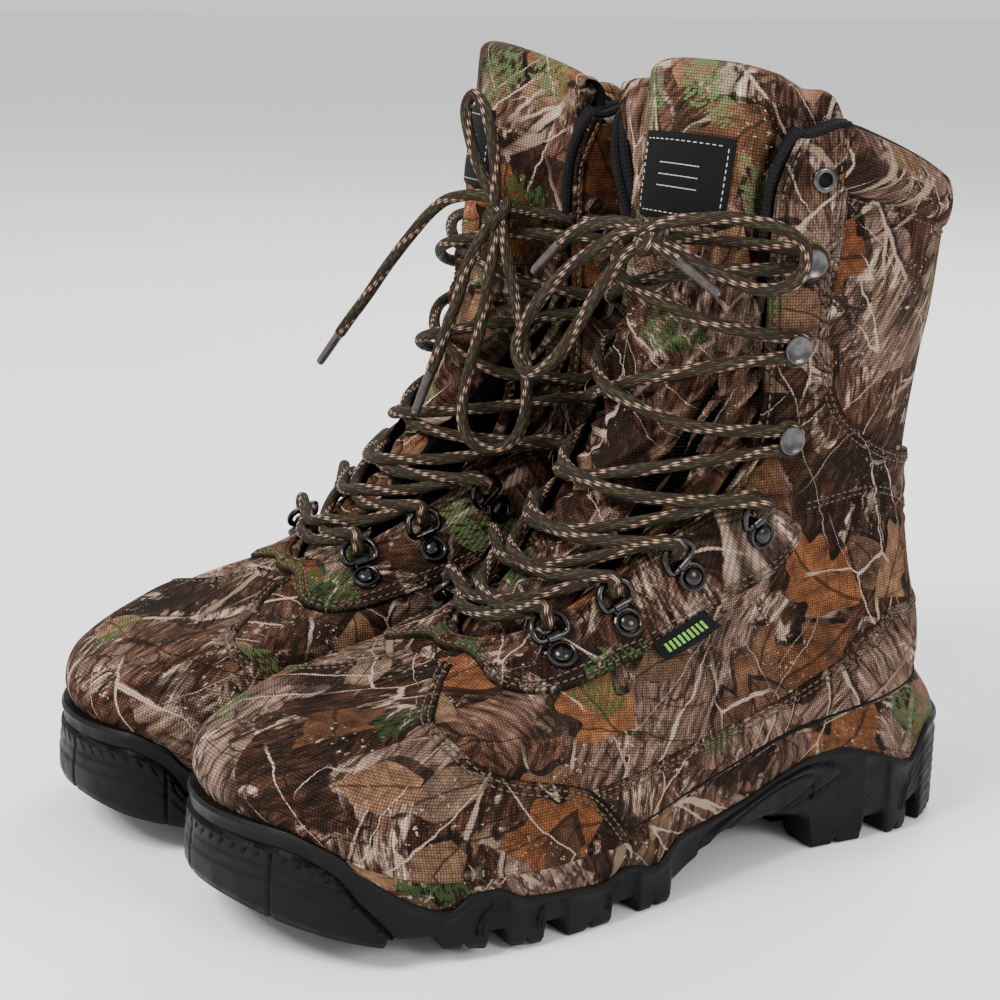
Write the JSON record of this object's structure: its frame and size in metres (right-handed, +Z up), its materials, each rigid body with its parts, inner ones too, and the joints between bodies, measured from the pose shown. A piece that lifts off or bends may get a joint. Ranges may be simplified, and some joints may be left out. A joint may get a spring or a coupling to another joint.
{
  "type": "insulated lace-up hunting boots, pair",
  "caption": "Pair of tall insulated lace-up hunting boots: camouflage fabric upper, padded collar and tongue, lugged rubber outsole, wire lace rings and hooks.",
  "frame": {"origin": "on the floor, at the centre of the pair's footprint", "axes": "+Z up, toes toward -Y, left boot at +X, right boot at -X"},
  "size_m": [0.2345, 0.3209, 0.2958],
  "materials": {
    "outsole_rubber": "matt, moulded black rubber",
    "camouflage_fabric": "printed oxford weave, brown and grey bark and leaf camouflage",
    "camouflage_sidewall": "printed satin sidewall, bark camouflage",
    "black_lining": "brushed black lining over insulation",
    "fibre_board": "pressed fibre board",
    "footbed_foam": "cloth-covered foam",
    "shank_steel": "plain spring steel strip",
    "gunmetal": "dark plated stamped metal",
    "label_cloth": "black woven label, blank",
    "lace_cord": "round braid, dark brown with tan and green flecks"
  },
  "bodies": {
    "boot_left": {"outsole_left": "outsole_rubber", "midsole_left": "camouflage_sidewall", "insole_board_left": "fibre_board", "footbed_left": "footbed_foam", "shank_plate_left": "shank_steel", "vamp_left": "camouflage_fabric", "heel_foxing_left": "camouflage_fabric", "quarter_lateral_left": "camouflage_fabric", "quarter_medial_left": "camouflage_fabric", "shaft_left": "camouflage_fabric", "collar_left": "camouflage_fabric", "toe_puff_left": "fibre_board", "heel_counter_left": "fibre_board", "liner_left": "black_lining", "eyestay_left": "camouflage_fabric", "lace_hardware_lateral_left": "gunmetal", "lace_hardware_medial_left": "gunmetal", "lace_left": "lace_cord", "lace_bow_left": "lace_cord"},
    "tongue_body_left": {"tongue_left": "camouflage_fabric", "tongue_label_left": "label_cloth"},
    "ring_lateral_1_left_body": {"ring_lateral_1_left": "gunmetal"},
    "ring_lateral_2_left_body": {"ring_lateral_2_left": "gunmetal"},
    "ring_lateral_3_left_body": {"ring_lateral_3_left": "gunmetal"},
    "ring_lateral_4_left_body": {"ring_lateral_4_left": "gunmetal"},
    "ring_medial_1_left_body": {"ring_medial_1_left": "gunmetal"},
    "ring_medial_2_left_body": {"ring_medial_2_left": "gunmetal"},
    "ring_medial_3_left_body": {"ring_medial_3_left": "gunmetal"},
    "ring_medial_4_left_body": {"ring_medial_4_left": "gunmetal"},
    "boot_right": {"outsole_right": "outsole_rubber", "midsole_right": "camouflage_sidewall", "insole_board_right": "fibre_board", "footbed_right": "footbed_foam", "shank_plate_right": "shank_steel", "vamp_right": "camouflage_fabric", "heel_foxing_right": "camouflage_fabric", "quarter_lateral_right": "camouflage_fabric", "quarter_medial_right": "camouflage_fabric", "shaft_right": "camouflage_fabric", "collar_right": "camouflage_fabric", "toe_puff_right": "fibre_board", "heel_counter_right": "fibre_board", "liner_right": "black_lining", "eyestay_right": "camouflage_fabric", "lace_hardware_lateral_right": "gunmetal", "lace_hardware_medial_right": "gunmetal", "lace_right": "lace_cord", "lace_bow_right": "lace_cord"},
    "tongue_body_right": {"tongue_right": "camouflage_fabric", "tongue_label_right": "label_cloth"},
    "ring_lateral_1_right_body": {"ring_lateral_1_right": "gunmetal"},
    "ring_lateral_2_right_body": {"ring_lateral_2_right": "gunmetal"},
    "ring_lateral_3_right_body": {"ring_lateral_3_right": "gunmetal"},
    "ring_lateral_4_right_body": {"ring_lateral_4_right": "gunmetal"},
    "ring_medial_1_right_body": {"ring_medial_1_right": "gunmetal"},
    "ring_medial_2_right_body": {"ring_medial_2_right": "gunmetal"},
    "ring_medial_3_right_body": {"ring_medial_3_right": "gunmetal"},
    "ring_medial_4_right_body": {"ring_medial_4_right": "gunmetal"}
  },
  "joints": [
    {"name": "boot_right_apart", "type": "slide", "parent": "boot_left", "child": "boot_right", "axis": [-1, 0, 0], "range_m": [0, 0.15]},
    {"name": "tongue_left_tilt", "type": "hinge", "parent": "boot_left", "child": "tongue_body_left", "pos_m": [0.05741, -0.04611, 0.0928], "axis": [-0.9994, -0.0349, 0], "range_deg": [0, 8], "stiffness_Nm_per_rad": 1, "springref_deg": -5.73},
    {"name": "ring_lateral_1_left_pivot", "type": "hinge", "parent": "boot_left", "child": "ring_lateral_1_left_body", "pos_m": [0.09025, -0.03682, 0.10039], "axis": [-0.107, -0.9602, -0.2579], "range_deg": [-5, 5]},
    {"name": "ring_lateral_2_left_pivot", "type": "hinge", "parent": "boot_left", "child": "ring_lateral_2_left_body", "pos_m": [0.09384, -0.01227, 0.10964], "axis": [-0.0152, -0.934, -0.357], "range_deg": [-5, 5]},
    {"name": "ring_lateral_3_left_pivot", "type": "hinge", "parent": "boot_left", "child": "ring_lateral_3_left_body", "pos_m": [0.09557, 0.01263, 0.12222], "axis": [0.0723, -0.7735, -0.6296], "range_deg": [-5, 5]},
    {"name": "ring_lateral_4_left_pivot", "type": "hinge", "parent": "boot_left", "child": "ring_lateral_4_left_body", "pos_m": [0.09783, 0.04323, 0.13484], "axis": [0.0167, -0.8675, -0.4971], "range_deg": [-5, 5]},
    {"name": "ring_medial_1_left_pivot", "type": "hinge", "parent": "boot_left", "child": "ring_medial_1_left_body", "pos_m": [0.02571, -0.04282, 0.09958], "axis": [-0.2572, 0.9474, 0.1904], "range_deg": [-5, 5]},
    {"name": "ring_medial_2_left_pivot", "type": "hinge", "parent": "boot_left", "child": "ring_medial_2_left_body", "pos_m": [0.02072, -0.01696, 0.10932], "axis": [-0.0892, 0.9509, 0.2963], "range_deg": [-5, 5]},
    {"name": "ring_medial_3_left_pivot", "type": "hinge", "parent": "boot_left", "child": "ring_medial_3_left_body", "pos_m": [0.01676, 0.00937, 0.12169], "axis": [0.0084, 0.7574, 0.6529], "range_deg": [-5, 5]},
    {"name": "ring_medial_4_left_pivot", "type": "hinge", "parent": "boot_left", "child": "ring_medial_4_left_body", "pos_m": [0.01268, 0.04031, 0.1346], "axis": [-0.0665, 0.8575, 0.5101], "range_deg": [-5, 5]},
    {"name": "tongue_right_tilt", "type": "hinge", "parent": "boot_right", "child": "tongue_body_right", "pos_m": [-0.05741, -0.05511, 0.0928], "axis": [-0.9994, 0.0349, 0], "range_deg": [0, 8], "stiffness_Nm_per_rad": 1, "springref_deg": -5.73},
    {"name": "ring_lateral_1_right_pivot", "type": "hinge", "parent": "boot_right", "child": "ring_lateral_1_right_body", "pos_m": [-0.09025, -0.04582, 0.10039], "axis": [0.107, -0.9602, -0.2579], "range_deg": [-5, 5]},
    {"name": "ring_lateral_2_right_pivot", "type": "hinge", "parent": "boot_right", "child": "ring_lateral_2_right_body", "pos_m": [-0.09384, -0.02127, 0.10964], "axis": [0.0152, -0.934, -0.357], "range_deg": [-5, 5]},
    {"name": "ring_lateral_3_right_pivot", "type": "hinge", "parent": "boot_right", "child": "ring_lateral_3_right_body", "pos_m": [-0.09557, 0.00363, 0.12222], "axis": [-0.0723, -0.7735, -0.6296], "range_deg": [-5, 5]},
    {"name": "ring_lateral_4_right_pivot", "type": "hinge", "parent": "boot_right", "child": "ring_lateral_4_right_body", "pos_m": [-0.09783, 0.03423, 0.13484], "axis": [-0.0167, -0.8675, -0.4971], "range_deg": [-5, 5]},
    {"name": "ring_medial_1_right_pivot", "type": "hinge", "parent": "boot_right", "child": "ring_medial_1_right_body", "pos_m": [-0.02571, -0.05182, 0.09958], "axis": [0.2572, 0.9474, 0.1904], "range_deg": [-5, 5]},
    {"name": "ring_medial_2_right_pivot", "type": "hinge", "parent": "boot_right", "child": "ring_medial_2_right_body", "pos_m": [-0.02072, -0.02596, 0.10932], "axis": [0.0892, 0.9509, 0.2963], "range_deg": [-5, 5]},
    {"name": "ring_medial_3_right_pivot", "type": "hinge", "parent": "boot_right", "child": "ring_medial_3_right_body", "pos_m": [-0.01676, 0.00037, 0.12169], "axis": [-0.0084, 0.7574, 0.6529], "range_deg": [-5, 5]},
    {"name": "ring_medial_4_right_pivot", "type": "hinge", "parent": "boot_right", "child": "ring_medial_4_right_body", "pos_m": [-0.01268, 0.03131, 0.1346], "axis": [0.0665, 0.8575, 0.5101], "range_deg": [-5, 5]}
  ]
}
